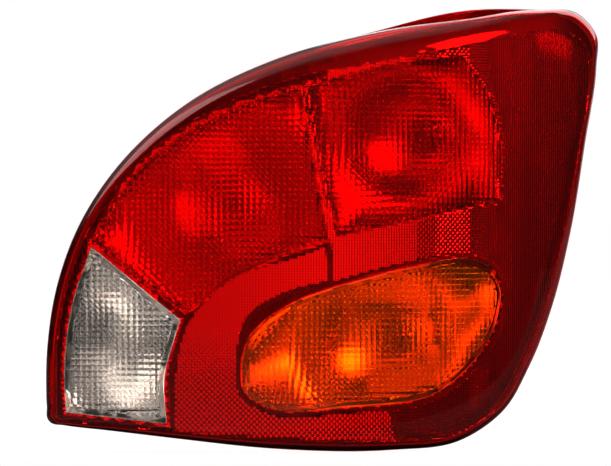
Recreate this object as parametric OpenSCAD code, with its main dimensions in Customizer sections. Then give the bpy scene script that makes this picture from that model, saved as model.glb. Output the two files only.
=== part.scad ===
// Rear lamp cluster for the right-hand rear corner of a small hatchback car.
// A three-colour moulded lens wraps round the corner of the body. Behind it
// sits a moulded housing with four reflector bowls, and a snap-in carrier with
// four bayonet bulbs, stamped brass tracks and the socket for the car's loom.
// Millimetres, +Z up. The lens faces -Y and the car lies towards +Y. The origin
// is on the face where the foam seal meets the body panel.

/* [Lens] */
// Width of the lens, seen square from behind the car
lens_w = 293; // [270:1:315]
// Height of the lens
lens_h = 233; // [215:1:250]
// Distance from the seal face to the foremost point of the lens
lens_front = 88; // [84:1:100]
// How far the outer edge of the lens sweeps forward along the flank of the car
lens_wrap = 104; // [90:1:115]
// Fall of the lens face towards its top edge
lens_crown = 10; // [6:1:12]
// Fall of the lens face towards its bottom edge
lens_tuck = 6; // [4:1:8]
// Wall thickness of the lens
lens_t = 2.8; // [2.4:0.1:3.2]
// Thickness of the weld flange at the back of the lens skirt
flange_t = 2.5; // [2:0.1:3]
// Height that the indicator window stands proud of the red lens at its outer end
window_step = 4.5; // [3:0.5:6]

/* [Housing] */
// Wall thickness of the housing
shell_t = 2.4; // [2:0.1:2.8]
// Depth of the housing floor behind the lens face
floor_depth = 26; // [24:1:28]
// Gap between the dividing walls and the inside of the lens
lens_gap = 0.8; // [0.6:0.1:1.2]
// Fit between parts that are pushed together
fit = 0.3; // [0.2:0.05:0.4]
// Distance that the collar reaches through the body panel
collar_reach = 3; // [2:0.5:4]
// Width of the flange that carries the foam seal
seal_flange = 15; // [13:1:16]
// Thickness of the foam seal
seal_t = 5; // [4:0.5:6]
// Width of the foam seal
seal_w = 9; // [8:0.5:10]

/* [Bulbs] */
// Diameter of the glass of each bulb
glass_d = 25; // [22:0.5:26]
// Diameter of the bayonet cap of each bulb
cap_d = 15; // [14.5:0.1:15.2]
// Distance from the contact end to the filament
light_centre = 38; // [36:0.5:40]

/* [Carrier] */
// Thickness of the bulb carrier plate
carrier_t = 3; // [2.5:0.1:3.5]
// Margin of the carrier plate round each bulb axis
carrier_r = 21; // [19:0.5:23]
// Thickness of the rubber gasket under the carrier
gasket_t = 1; // [0.8:0.1:1.5]

/* [Fixings] */
// Thread diameter of the fixing studs
stud_d = 6; // [5:0.5:8]
// Length of each stud behind its boss
stud_l = 22; // [18:1:30]

/* [Hidden] */
$fn = 64;

// Places on the lens are in hundredths of its width and of its height
function at(p) = [p.x * lens_w, p.y * lens_h] / 100;

// Rim of the lens: x and z in hundredths, width and depth of the rounded
// shoulder, depth of the skirt behind it, and how far the weld flange stands out
rim_stations = [
    [-51.4, -34.3, 5, 5, 12, 0.6],
    [-51.3, -38.2, 5, 5, 12, 0.6],
    [-51, -41.4, 5, 5, 12, 0.6],
    [-50.5, -42, 5, 5, 12, 0.6],
    [-48.3, -42.5, 6, 5, 12, 0.6],
    [-40.3, -43.7, 7, 6, 12, 0.6],
    [-29, -45.4, 7, 6, 12, 0.6],
    [-10.2, -47.9, 8, 7, 12, 0.6],
    [10.2, -48.4, 8, 7, 12, 0.6],
    [21.8, -46.9, 6, 6, 11, 0.6],
    [30, -40.6, 5, 5, 9, 0.6],
    [35.3, -29.9, 4, 4, 7, 0.6],
    [39.6, -16.3, 4, 4, 6, 0.6],
    [43, 0, 4, 4, 5, 0.6],
    [46.1, 21.5, 4, 4, 5, 0.6],
    [48.5, 39.5, 6, 5, 5, 0.6],
    [48.5, 46.8, 9, 6, 5, 0.6],
    [44.4, 51.7, 14, 8, 6, 0.6],
    [36.9, 51.9, 18, 12, 8, 0.6],
    [23.9, 49.4, 18, 13, 10, 5.4],
    [6.8, 45.7, 16, 12, 12, 0.8],
    [-10.2, 39.6, 12, 10, 12, 0.6],
    [-24.8, 30.7, 10, 8, 12, 0.6],
    [-36.2, 18.8, 7, 6, 12, 0.6],
    [-44.7, 4.1, 6, 5, 12, 0.6],
    [-49.4, -11.2, 5, 5, 12, 0.6],
    [-51.1, -24, 5, 5, 12, 0.6],
];
rim_steps = 3;
lens_mid = at([2.7, -1.7]);

// Edges of the windows and of the lit zones, each side a smooth curve
reversing_sides = [
    [[-43.3, -2.6], [-46.8, -16.3], [-48.1, -31.8], [-47.8, -39.5]],
    [[-47.8, -39.5], [-30, -42.1]],
    [[-30, -42.1], [-30.4, -32.6], [-27.6, -18.9]],
    [[-27.6, -18.9], [-43.3, -2.6]],
];
indicator_stations = [
    [-16.7, -30.5], [-15, -22.3], [-8.2, -15.5], [2.4, -10.7], [16.7, -6.4], [23.2, -5.2], [27.3, -6.9],
    [29.7, -12], [29.4, -18], [25.9, -27], [18.1, -35.6], [2, -38.6], [-12.6, -38.2], [-16, -35.2],
];
tail_sides = [
    [[-43.3, -1.7], [-34.8, 15], [-21.8, 26.6], [-6.1, 33.5]],
    [[-6.1, 33.5], [-3.4, 15], [-1, -0.9]],
    [[-1, -0.9], [-14, -6.9], [-27, -17.6]],
    [[-27, -17.6], [-43.3, -1.7]],
];
fog_sides = [
    [[-5.5, 33.5], [8.2, 38.2], [22.9, 41.2]],
    [[22.9, 41.2], [27.6, 32.6], [29.7, 20.6], [29.4, 7.7]],
    [[29.4, 7.7], [13.7, 3], [-0.3, -0.9]],
    [[-0.3, -0.9], [-2.7, 15], [-5.5, 33.5]],
];

// Bulb axes: x and z, and the focal length of the bowl round each bulb
tail_at = at([-18.4, 6.9]);
fog_at = at([16, 22.3]);
indicator_at = at([10.6, -23.2]);
reversing_at = at([-33.4, -24]);
bulb_axes = [tail_at, fog_at, indicator_at, reversing_at];

function unit(v) = v / norm(v);
function flat(rows) = [for (row = rows) for (item = row) item];
function spot(s) = [s.x, s.y];

// Smooth curve through stations: its slope at a station is that of the
// parabola through the station and its two neighbours
function slope(a, b, c) =
    let (d0 = norm(spot(b) - spot(a)), d1 = norm(spot(c) - spot(b)))
    ((b - a) * d1 / d0 + (c - b) * d0 / d1) / (d0 + d1);
function blend(p, q, m, n, u) =
    let (d = norm(spot(q) - spot(p)), v = 1 - u)
    p * v * v * (1 + 2 * u) + q * u * u * (3 - 2 * u) + (m * v - n * u) * u * v * d;
function loop_through(st, steps) =
    let (n = len(st))
    [for (i = [0 : n - 1]) for (k = [0 : steps - 1])
        let (a = st[(i + n - 1) % n], b = st[i], c = st[(i + 1) % n], e = st[(i + 2) % n])
        blend(b, c, slope(a, b, c), slope(b, c, e), k / steps)];
function side_through(st, steps) =
    let (n = len(st), m = n > 2
        ? concat([2 * st[0] - st[1]], st, [2 * st[n - 1] - st[n - 2]])
        : concat([2 * st[0] - st[1]], st, [2 * st[1] - st[0]]))
    [for (i = [1 : n - 1]) for (k = [0 : steps - 1])
        blend(m[i], m[i + 1], slope(m[i - 1], m[i], m[i + 1]),
            slope(m[i], m[i + 1], m[i + 2]), k / steps)];
function outline(sides, steps) = [for (p = flat([for (s = sides) side_through(s, steps)])) at(p)];

// Outline grown outwards by d, or shrunk where d is negative
function turn_sign(pts) =
    let (n = len(pts))
    sign([for (i = 0, s = 0; i <= n; s = s + cross(pts[i % n], pts[(i + 1) % n]), i = i + 1) s][n]);
function grown(pts, d) =
    let (n = len(pts), way = turn_sign(pts))
    [for (i = [0 : n - 1])
        let (a = unit(pts[i] - pts[(i + n - 1) % n]), b = unit(pts[(i + 1) % n] - pts[i]),
            na = way * [a.y, -a.x], nb = way * [b.y, -b.x])
        pts[i] + d * (na + nb) / (1 + na * nb)];

rim = [for (s = loop_through(rim_stations, rim_steps)) concat(at(spot(s)), [s[2], s[3], s[4], s[5]])];
reversing_edge = outline(reversing_sides, 4);
indicator_edge = [for (p = loop_through(indicator_stations, 3)) at(p)];
tail_edge = outline(tail_sides, 4);
fog_edge = outline(fog_sides, 4);

// Height of the lens face over the seal face, along -Y
face_left = -51.5 * lens_w / 100;
wrap_power = 3.5;
function across(p) = max(0, (p.x - face_left) / lens_w);
function face_y(p) = -lens_front + lens_wrap * pow(across(p), wrap_power)
    + (p.y > 0 ? lens_crown : lens_tuck) * pow(2 * p.y / lens_h, 2);
function steep(p) = sqrt(1 + pow(lens_wrap * wrap_power * pow(across(p), wrap_power - 1) / lens_w, 2));

// Rings of the lens, from the middle of the face out over the shoulder
function inset(s, e) = spot(s) + e * unit(lens_mid - spot(s));
function face_ring(u, width, back) =
    [for (s = rim) let (p = lens_mid + u * (inset(s, width(s)) - lens_mid))
        [p.x, face_y(p) + back * steep(p), p.y]];
function shoulder_ring(a, back) =
    [for (s = rim)
        let (w = max(s[2] - back, 1), d = max(s[3] - back, 1),
            p = inset(s, back + w * (1 - sin(a))))
        [p.x, face_y(p) + back * steep(p) + d * (1 - cos(a)), p.y]];
function skirt_end(s) = face_y(spot(s)) + s[3] + s[4];
function edge_ring(out, back) =
    [for (s = rim) let (p = inset(s, -out(s))) [p.x, skirt_end(s) + back, p.y]];

// Window faces and the back of the lens wall
edge_r = 0.7;
window_sink = 0.8;
reversing_mid = at([-38.2, -25.8]);
function lens_back(p) = face_y(p) + lens_t * steep(p);
function proud(p) = let (u = max(0, min(1, (100 * p.x / lens_w + 16.7) / 46.4)))
    (window_step + window_sink) * pow(u, 1.5) - window_sink;
function indicator_y(p) = face_y(p) - proud(p);

// Places along Y: the carrier clips over the end of the collar
cap_l = 17;
pin_back = 7.5;
glass_sink = 5;
stem_out = 5;
carrier_y = collar_reach + gasket_t;
carrier_back = carrier_y + carrier_t;
contact_y = carrier_y + 1;
filament_y = contact_y - light_centre;
cap_back_y = contact_y - 1;
cap_front_y = cap_back_y - cap_l;
glass_foot_y = cap_front_y + glass_sink;
stem_y = cap_front_y - stem_out;
socket_front = cap_front_y + 1;
pin_y = contact_y - pin_back;

// Housing details
zones = [
    [tail_edge, tail_at, 18],
    [fog_edge, fog_at, 16],
    [reversing_edge, reversing_at, 14],
    [grown(indicator_edge, -1), indicator_at, 18],
];
rib_t = 2;
spigot_h = 4;
seat_gap = 0.2;
collar_t = 3;
draft = 4;
wall_back_y = -38;
recess_y = -12.5;
arc_steps = 10;
bulb_hole_r = glass_d / 2 + 1.5;
stud_spots = [at([-39.9, 2.1]), at([-6.8, 34.8]), at([23.9, -33.5])];
boss_r = stud_d / 2 + 4;
stud_fit = 0.1;
stud_seat_y = -1.5;
stud_root = 9;
stud_collar_t = 1.5;
stud_collar_r = stud_d / 2 + 2.2;

// Stiffening fins: the bulb axis that each points from, and its bearing
gussets = [
    for (way = [112, 138, 162]) [tail_at, way],
    for (way = [170, 196, 222, 248]) [reversing_at, way],
    for (way = [258, 280]) [indicator_at, way],
    for (way = [98, 120]) [fog_at, way],
];
gusset_t = 2;
gusset_run = 9;

// Latches: the bulb axis that each is level with, and the side it is on
latches = [[reversing_at, -1], [fog_at, 1]];
latch_w = 12;
latch_t = 2;
latch_tab = 7;
nib_y = -1;
nib_t = 2;
nib_out = 1.5;

// Bayonet sockets
socket_bore = cap_d / 2 + 0.25;
socket_r = socket_bore + 2;
slot_w = 2.6;
slot_turn = 5;
pin_out = 1.3;
bayonet_r = 1;
twin_set = 3.5;
contact_r = 1.6;
contact_hole_r = 2.2;

// Loom socket and tracks
loom_at = at([-4.8, -7.7]);
loom_w = 34;
loom_h = 15;
loom_d = 12;
loom_t = 1.8;
track_t = 0.8;
track_w = 3;
blade_w = 2.8;
blade_l = 9;
blade_count = 6;
blade_gap = 1.55;
blade_pitch = (loom_w - 2 * (loom_t + blade_gap) - blade_w) / (blade_count - 1);
tab_w = 3;
tab_t = 0.5;
function rise(p, z) = [p.x, z];
reversing_route = [pin_spot(0), rise(pin_spot(0), reversing_at.y), reversing_at];
tail_route = [pin_spot(1), rise(pin_spot(1), tail_at.y - twin_set), tail_at - [0, twin_set]];
brake_route = [pin_spot(2), rise(pin_spot(2), tail_at.y + twin_set), tail_at + [0, twin_set]];
earth_z = min(reversing_at.y, indicator_at.y) - socket_r - 3;
earth_route = [pin_spot(3), rise(pin_spot(3), earth_z)];
indicator_route = [pin_spot(4), rise(pin_spot(4), indicator_at.y), indicator_at];
fog_route = [pin_spot(5), rise(pin_spot(5), fog_at.y - 12), fog_at];
earth_tabs = [for (a = bulb_axes) under(a)];
earth_side = socket_r + 4;
earth_branches = [
    [rise(indicator_at, earth_z), [reversing_at.x - earth_side, earth_z],
        reversing_at + [-earth_side, earth_side], under(tail_at) - [0, 4], under(tail_at)],
    [rise(reversing_at, earth_z), under(reversing_at)],
    [rise(indicator_at, earth_z), under(indicator_at)],
    [rise(indicator_at, earth_z), indicator_at + [earth_side, -4], rise(fog_at, indicator_at.y + earth_side),
        under(fog_at)],
];
routes = [reversing_route, tail_route, brake_route, earth_route, indicator_route, fog_route];

// Bulb details
cap_t = 0.4;
glass_t = 0.8;
stem_r = 3.6;
insulator_sink = 0.3;
insulator_t = 3;
coil_l = 6;
coil_r = 0.5;
wire_r = 0.25;

module lofted(rings, first, last) {
    n = len(rings[0]);
    m = len(rings);
    pts = concat(flat(rings), [first, last]);
    faces = concat(
        [for (i = [0 : n - 1]) [m * n, (i + 1) % n, i]],
        [for (r = [0 : m - 2]) for (i = [0 : n - 1]) [r * n + i, r * n + (i + 1) % n, (r + 1) * n + i]],
        [for (r = [0 : m - 2]) for (i = [0 : n - 1])
            [(r + 1) * n + i, r * n + (i + 1) % n, (r + 1) * n + (i + 1) % n]],
        [for (i = [0 : n - 1]) [(m - 1) * n + i, (m - 1) * n + (i + 1) % n, m * n + 1]]
    );
    polyhedron(pts, faces);
}

face_steps = [0.22, 0.42, 0.6, 0.76, 0.89];
function reversed(v) = [for (i = [len(v) - 1 : -1 : 0]) v[i]];

module lens_blank() {
    w = function (s) s[2];
    wi = function (s) max(s[2], lens_t + 1);
    rings = concat(
        [for (u = face_steps) face_ring(u, w, 0)],
        [for (a = [0, 30, 60, 90]) shoulder_ring(a, 0)],
        [edge_ring(function (s) 0, -flange_t), edge_ring(function (s) s[5], -flange_t)],
        [edge_ring(function (s) s[5], 0), edge_ring(function (s) -lens_t, 0)],
        [for (a = [90, 45, 0]) shoulder_ring(a, lens_t)],
        [for (u = reversed(face_steps)) face_ring(u, wi, lens_t)]
    );
    lofted(rings,
        [lens_mid.x, face_y(lens_mid), lens_mid.y],
        [lens_mid.x, face_y(lens_mid) + lens_t * steep(lens_mid), lens_mid.y]);
}

module along_y(y0, y1) {
    translate([0, y1, 0]) rotate([90, 0, 0]) linear_extrude(y1 - y0) children();
}

// Plate over a window: front(p) is its face and seat(p) the back of its edge
module window_plate(pts, mid, front, seat) {
    inner = grown(pts, -lens_t);
    ring = function (pts, u, y, back) [for (q = pts) let (p = mid + u * (q - mid)) [p.x, y(p) + back, p.y]];
    rings = concat(
        [for (u = [0.35, 0.7]) ring(pts, u, front, 0)],
        [ring(grown(pts, -edge_r), 1, front, 0), ring(pts, 1, front, edge_r)],
        [ring(pts, 1, seat, 0), ring(inner, 1, seat, 0)],
        [for (u = [1, 0.68, 0.34]) ring(inner, u, front, lens_t)]
    );
    lofted(rings, [mid.x, front(mid), mid.y], [mid.x, front(mid) + lens_t, mid.y]);
}

module red_lens() {
    color("crimson")
    difference() {
        lens_blank();
        along_y(-lens_front - window_step, 0) polygon(reversing_edge);
        along_y(-lens_front - window_step, 0) polygon(indicator_edge);
    }
}

module reversing_window() {
    color("whitesmoke")
    window_plate(reversing_edge, reversing_mid, function (p) face_y(p), function (p) lens_back(p));
}

module indicator_window() {
    color("orange")
    window_plate(indicator_edge, indicator_at, function (p) indicator_y(p), function (p) lens_back(p));
}

// Rings of the housing, over the same rim stations as the lens
function floor_y(p) = face_y([p.x, 0]) + floor_depth;
function seat_ring(e, back) = [for (s = rim) let (p = inset(s, e)) [p.x, skirt_end(s) + back, p.y]];

spigot_out = lens_t + fit;
spigot_in = spigot_out + shell_t;
hollow_in = spigot_in + 0.45;

// Distance from the middle of the lens to an outline, towards a rim station
function ray_hit(pts, way) =
    let (n = len(pts))
    max([for (i = [0 : n - 1])
        let (a = pts[i] - lens_mid, d = pts[(i + 1) % n] - pts[i], det = cross(way, d),
            t = det == 0 ? 0 : cross(a, d) / det, u = det == 0 ? -1 : cross(a, way) / det)
        u >= 0 && u <= 1 ? t : 0]);
function carrier_ring(r, y) =
    let (pts = carrier_outline(r))
    [for (s = rim)
        let (way = unit(spot(s) - lens_mid), p = lens_mid + way * ray_hit(pts, way))
        [p.x, y(p), p.y]];
function floor_back(p) = floor_y(p) + shell_t * steep(p);
function between_rings(a, b, u) = [for (i = [0 : len(a) - 1]) a[i] + u * (b[i] - a[i])];
function sunk(ring) = [for (p = ring) [p.x, max(floor_back([p.x, p.z]), p.y), p.z]];

// Outer form of the housing, up to just behind the lens and solid inside
module housing_blank() {
    back = lens_t + lens_gap;
    width = function (s) max(s[2], spigot_in + 0.5);
    flange_y = -seal_t - shell_t;
    corner = [for (s = rim) let (p = inset(s, draft))
        [p.x, max(floor_back(p), skirt_end(s) + 2 * shell_t, wall_back_y), p.y]];
    base = sunk(carrier_ring(carrier_r + seal_flange + 2, function (p) flange_y - seal_t + 1));
    rings = concat(
        [for (u = concat(face_steps, [1])) face_ring(u, width, back)],
        [seat_ring(spigot_in, -spigot_h), seat_ring(spigot_out, -spigot_h)],
        [seat_ring(spigot_out, seat_gap), seat_ring(0, seat_gap), corner],
        [sunk(between_rings(corner, base, 0.5)), base],
        [carrier_ring(carrier_r, function (p) flange_y - 2.5), carrier_ring(carrier_r, function (p) flange_y)],
        [for (y = [flange_y, -seal_t]) carrier_ring(carrier_r + seal_flange, function (p) y)],
        [for (y = [-seal_t, collar_reach]) carrier_ring(carrier_r, function (p) y)]
    );
    lofted(rings,
        [lens_mid.x, face_y(lens_mid) + back * steep(lens_mid), lens_mid.y],
        [lens_mid.x, collar_reach, lens_mid.y]);
}

// Space between the lens and the tray floor, open to the front: the floor
// follows the sweep of the lens in plan, and the side follows its rim
module front_space() {
    ahead = -2 * lens_front;
    n = 16;
    x0 = face_left - 5;
    step = (lens_w + 10) / n;
    floor_line = [for (i = [0 : n]) let (x = x0 + i * step) [x, floor_y([x, 0])]];
    intersection() {
        translate([0, 0, -lens_h]) linear_extrude(2 * lens_h)
            polygon(concat(floor_line, [[x0 + n * step, ahead], [x0, ahead]]));
        along_y(ahead - 1, 2 * lens_wrap) polygon([for (s = rim) inset(s, hollow_in)]);
    }
}

// Bowl round a bulb: a paraboloid with the filament at its focus
function bowl_h(f, r) = -(filament_y + f) + r * r / (4 * f);
function bowl_r(f) = sqrt(4 * f * (lens_front + filament_y + f));
module bowl(axis, f) {
    n = 14;
    curve = [for (i = [0 : n]) let (r = bowl_r(f) * i / n) [r, bowl_h(f, r)]];
    translate([axis.x, 0, axis.y]) rotate([90, 0, 0])
        rotate_extrude() polygon(concat(curve, [[0, curve[n].y]]));
}

module on_axes() {
    for (a = bulb_axes) translate([a.x, 0, a.y]) children();
}

// Outline of the carrier: a margin of r round the four bulb axes, which stand
// in order round the plate
function carrier_outline(r) =
    let (n = len(bulb_axes))
    [for (i = [0 : n - 1])
        let (a = bulb_axes[(i + n - 1) % n], b = bulb_axes[i], c = bulb_axes[(i + 1) % n],
            from = bearing(b - a), sweep = (bearing(c - b) - from + 540) % 360 - 180)
        for (k = [0 : arc_steps]) let (t = from + 90 + sweep * k / arc_steps) b + r * [cos(t), sin(t)]];
function bearing(v) = atan2(v.y, v.x);
module carrier_shape(r) {
    polygon(carrier_outline(r));
}

function round_of(r, n) = [for (i = [0 : n - 1]) r * [cos(360 * i / n), sin(360 * i / n)]];
module stud_boss(spot) {
    root_y = max(floor_y([spot.x + boss_r, 0]) + 0.6, wall_back_y);
    along_y(root_y, stud_seat_y) translate(spot) polygon(round_of(boss_r, 24));
}

// Stiffening fin between the collar and the back of the tray, on a bulb axis
module gusset(axis, way) {
    flange_y = -seal_t - shell_t;
    translate([axis.x, 0, axis.y]) rotate([0, -way, 0]) translate([0, 0, -gusset_t / 2])
        linear_extrude(gusset_t) polygon([
            [carrier_r - 1, flange_y + 1], [carrier_r + seal_flange, flange_y + 1],
            [carrier_r + seal_flange + gusset_run, wall_back_y], [carrier_r - 1, wall_back_y],
        ]);
}

module housing() {
    color("dimgray")
    difference() {
        union() {
            housing_blank();
            for (p = stud_spots) stud_boss(p);
            for (l = latches) catch_nib(l[0], l[1]);
            for (g = gussets) gusset(g[0], g[1]);
        }
        difference() {
            front_space();
            for (z = zones) along_y(-3 * lens_front, lens_wrap) difference() {
                polygon(grown(z[0], rib_t));
                for (other = zones) polygon(other[0]);
            }
        }
        for (z = zones) intersection() {
            bowl(z[1], z[2]);
            along_y(-lens_front, lens_wrap) polygon(z[0]);
        }
        along_y(recess_y, collar_reach + 1) carrier_shape(carrier_r - collar_t);
        on_axes() rotate([90, 0, 0]) cylinder(-filament_y, r = bulb_hole_r);
        for (p = stud_spots) translate([p.x, stud_seat_y + 1, p.y]) rotate([90, 0, 0])
            cylinder(stud_root + 2, d = stud_d + 2 * stud_fit);
    }
}

module body_seal() {
    color("darkslategray")
    along_y(-seal_t, 0) difference() {
        carrier_shape(carrier_r + seal_flange - 1);
        carrier_shape(carrier_r + seal_flange - 1 - seal_w);
    }
}

// Snap hook of the carrier and the nib on the collar that it grips
function towards(side) = side > 0 ? 0 : 180;
module catch_nib(axis, side) {
    translate([axis.x, 0, axis.y]) rotate([0, towards(side), 0])
        translate([carrier_r - 1, nib_y, -latch_w / 2]) cube([1 + nib_out, nib_t, latch_w]);
}
module latch(axis, side) {
    gap = carrier_r + nib_out + fit;
    translate([axis.x, 0, axis.y]) rotate([0, towards(side), 0]) translate([0, 0, -latch_w / 2]) {
        translate([carrier_r - collar_t, carrier_y, 0])
            cube([nib_out + fit + collar_t + latch_t, carrier_t, latch_w]);
        translate([gap, nib_y - fit - nib_t, 0])
            cube([latch_t, carrier_y + carrier_t + latch_tab + nib_t + fit - nib_y, latch_w]);
        translate([gap - nib_out, nib_y - fit - nib_t, 0]) cube([nib_out + 0.1, nib_t, latch_w]);
    }
}

module bulb_carrier() {
    color("gray")
    difference() {
        union() {
            along_y(carrier_y, carrier_back) carrier_shape(carrier_r);
            on_axes() translate([0, carrier_back - 1, 0]) rotate([90, 0, 0])
                cylinder(carrier_back - 1 - socket_front, r = socket_r);
            for (l = latches) latch(l[0], l[1]);
            translate([loom_at.x - loom_w / 2, carrier_back - 1, loom_at.y - loom_h / 2])
                cube([loom_w, loom_d + 1, loom_h]);
        }
        on_axes() {
            translate([0, carrier_y, 0]) rotate([90, 0, 0]) cylinder(carrier_y - socket_front + 1, r = socket_bore);
            for (a = [0, 180]) rotate([0, a, 0]) {
                translate([0, socket_front - 1, -slot_w / 2])
                    cube([socket_r + 1, pin_y + slot_w / 2 - socket_front + 1, slot_w]);
                translate([0, pin_y - slot_w / 2, -slot_w / 2]) cube([socket_r + 1, slot_w, slot_turn]);
            }
        }
        for (i = [0 : len(bulb_axes) - 1]) for (c = contact_spots(i))
            translate([c.x, carrier_back + 1, c.y]) rotate([90, 0, 0])
            cylinder(carrier_t + 2, r = contact_hole_r);
        for (t = earth_tabs) translate([t.x - tab_w / 2 - fit, socket_front / 2, t.y - tab_t / 2 - fit])
            cube([tab_w + 2 * fit, carrier_back + 1 - socket_front / 2, tab_t + 2 * fit + 1]);
        translate([loom_at.x - loom_w / 2 + loom_t, carrier_back, loom_at.y - loom_h / 2 + loom_t])
            cube([loom_w - 2 * loom_t, loom_d + 1, loom_h - 2 * loom_t]);
        for (r = routes) along_y(carrier_back, carrier_back + track_t + fit)
            strip([r[0], r[1]], track_w + 2 * fit);
    }
}

module carrier_gasket() {
    color("black")
    along_y(collar_reach, collar_reach + gasket_t) difference() {
        carrier_shape(carrier_r - 0.2);
        carrier_shape(carrier_r - collar_t);
    }
}

// Stamped brass track along a route of points
module strip(route, w) {
    for (i = [0 : len(route) - 2]) {
        a = route[i];
        b = route[i + 1];
        d = unit(b - a) * w / 2;
        n = [-d.y, d.x];
        polygon([a - d + n, b + d + n, b + d - n, a - d - n]);
    }
}
module track(route) {
    color("goldenrod") {
        along_y(carrier_back, carrier_back + track_t) strip(route, track_w);
        translate([route[0].x - blade_w / 2, carrier_back, route[0].y - track_t / 2])
            cube([blade_w, blade_l, track_t]);
    }
}
module contact_stud(spot) {
    color("goldenrod") translate([spot.x, carrier_back + track_t / 2, spot.y]) rotate([90, 0, 0])
        cylinder(carrier_back + track_t / 2 - contact_y, r = contact_r);
}

function pin_spot(i) = loom_at + [(i - (blade_count - 1) / 2) * blade_pitch, 0];
function contact_spots(i) = i == 0 ? [tail_at - [0, twin_set], tail_at + [0, twin_set]] : [bulb_axes[i]];
function under(axis) = axis - [0, socket_bore + tab_t / 2];

module tail_track() {
    union() {
        track(tail_route);
        contact_stud(contact_spots(0)[0]);
    }
}
module brake_track() {
    union() {
        track(brake_route);
        contact_stud(contact_spots(0)[1]);
    }
}
module fog_track() {
    union() {
        track(fog_route);
        contact_stud(fog_at);
    }
}
module reversing_track() {
    union() {
        track(reversing_route);
        contact_stud(reversing_at);
    }
}
module indicator_track() {
    union() {
        track(indicator_route);
        contact_stud(indicator_at);
    }
}
module earth_track() {
    color("goldenrod") union() {
        track(earth_route);
        for (b = earth_branches) along_y(carrier_back, carrier_back + track_t) strip(b, track_w);
        for (t = earth_tabs) translate([t.x - tab_w / 2, socket_front / 2 + 1, t.y - tab_t / 2])
            cube([tab_w, carrier_back + track_t - socket_front / 2 - 1, tab_t]);
    }
}

module fixing_studs() {
    color("silver")
    for (p = stud_spots) translate([p.x, stud_seat_y, p.y]) {
        translate([0, stud_collar_t, 0]) rotate([90, 0, 0]) cylinder(stud_collar_t, r = stud_collar_r);
        translate([0, stud_l - stud_seat_y, 0]) rotate([90, 0, 0])
            cylinder(stud_l - stud_seat_y + stud_root, d = stud_d);
    }
}

// Bulbs, turned about an axis that points out through the lens
module on_bulb(axis) {
    translate([axis.x, 0, axis.y]) rotate([90, 0, 0]) children();
}
module bulb_glass(axis) {
    r = glass_d / 2;
    mid = -filament_y;
    neck = cap_d / 2 - cap_t - 0.1;
    low = asin(neck / r) + 8;
    ball = function (r, up) [for (i = [0 : 10]) let (a = low + (180 - low) * i / 10) [r * sin(a), mid - r * cos(a) + up]];
    outer = concat([[0, -glass_foot_y], [neck, -glass_foot_y], [neck, mid - r * cos(low) - 4]], ball(r, 0));
    inner = concat(reversed(ball(r - glass_t, 0)), [[neck - glass_t, mid - r * cos(low) - 4],
        [neck - glass_t, 2 - glass_foot_y], [stem_r, 2 - glass_foot_y], [stem_r, -stem_y], [0, -stem_y]]);
    color("lightcyan") on_bulb(axis) rotate_extrude() polygon(concat(outer, inner));
}
module bulb_cap(axis) {
    r = cap_d / 2;
    color("gold") union() {
        on_bulb(axis) rotate([0, 0, 45]) rotate_extrude() polygon([
            [r - cap_t, -cap_back_y], [r - cap_t / 2, -cap_back_y], [r, cap_t / 2 - cap_back_y], [r, -cap_front_y - 1],
            [r + 0.4, -cap_front_y], [r - cap_t + 0.4, -cap_front_y], [r - cap_t, -cap_front_y - 1],
        ]);
        for (a = [0, 180]) translate([axis.x, pin_y, axis.y]) rotate([0, a + 90, 0])
            translate([0, 0, r - cap_t / 2]) cylinder(cap_t / 2 + pin_out, r = bayonet_r);
    }
}
module bulb_insulator(axis) {
    color("black") on_bulb(axis)
        translate([0, 0, insulator_sink - cap_back_y]) cylinder(insulator_t, r = cap_d / 2 - cap_t - 0.1);
}
module bulb_contacts(i) {
    color("lightgray") for (c = contact_spots(i)) on_bulb(c)
        translate([0, 0, -contact_y]) cylinder(contact_y - cap_back_y + insulator_sink, r = contact_r);
}
module bulb_filaments(i) {
    axis = bulb_axes[i];
    sets = i == 0 ? [-2.5, 2.5] : [0];
    color("silver") for (s = sets) translate([axis.x, 0, axis.y + s]) {
        translate([-coil_l / 2, filament_y, 0]) rotate([0, 90, 0]) cylinder(coil_l, r = coil_r);
        for (x = [-coil_l / 2, coil_l / 2]) translate([x, stem_y, 0])
            rotate([90, 0, 0]) cylinder(stem_y - filament_y, r = wire_r);
    }
}

red_lens();
reversing_window();
indicator_window();
housing();
body_seal();
bulb_carrier();
carrier_gasket();
earth_track();
tail_track();
brake_track();
fog_track();
indicator_track();
reversing_track();
fixing_studs();
bulb_glass(bulb_axes[0]);  // tail_brake_bulb_glass
bulb_cap(bulb_axes[0]);  // tail_brake_bulb_cap
bulb_insulator(bulb_axes[0]);  // tail_brake_bulb_insulator
bulb_contacts(0);  // tail_brake_bulb_contacts
bulb_filaments(0);  // tail_brake_bulb_filaments
bulb_glass(bulb_axes[1]);  // fog_bulb_glass
bulb_cap(bulb_axes[1]);  // fog_bulb_cap
bulb_insulator(bulb_axes[1]);  // fog_bulb_insulator
bulb_contacts(1);  // fog_bulb_contact
bulb_filaments(1);  // fog_bulb_filament
bulb_glass(bulb_axes[2]);  // indicator_bulb_glass
bulb_cap(bulb_axes[2]);  // indicator_bulb_cap
bulb_insulator(bulb_axes[2]);  // indicator_bulb_insulator
bulb_contacts(2);  // indicator_bulb_contact
bulb_filaments(2);  // indicator_bulb_filament
bulb_glass(bulb_axes[3]);  // reversing_bulb_glass
bulb_cap(bulb_axes[3]);  // reversing_bulb_cap
bulb_insulator(bulb_axes[3]);  // reversing_bulb_insulator
bulb_contacts(3);  // reversing_bulb_contact
bulb_filaments(3);  // reversing_bulb_filament
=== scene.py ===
# Tail light cluster for the right rear corner of a small hatchback car.
# The lens pieces are modelled again here with their inside optics, which are
# too fine for the CAD solids, and so are the threads of the studs and the
# coils of the filaments. The rest is the CAD nodes with real finishes.
import math

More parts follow.
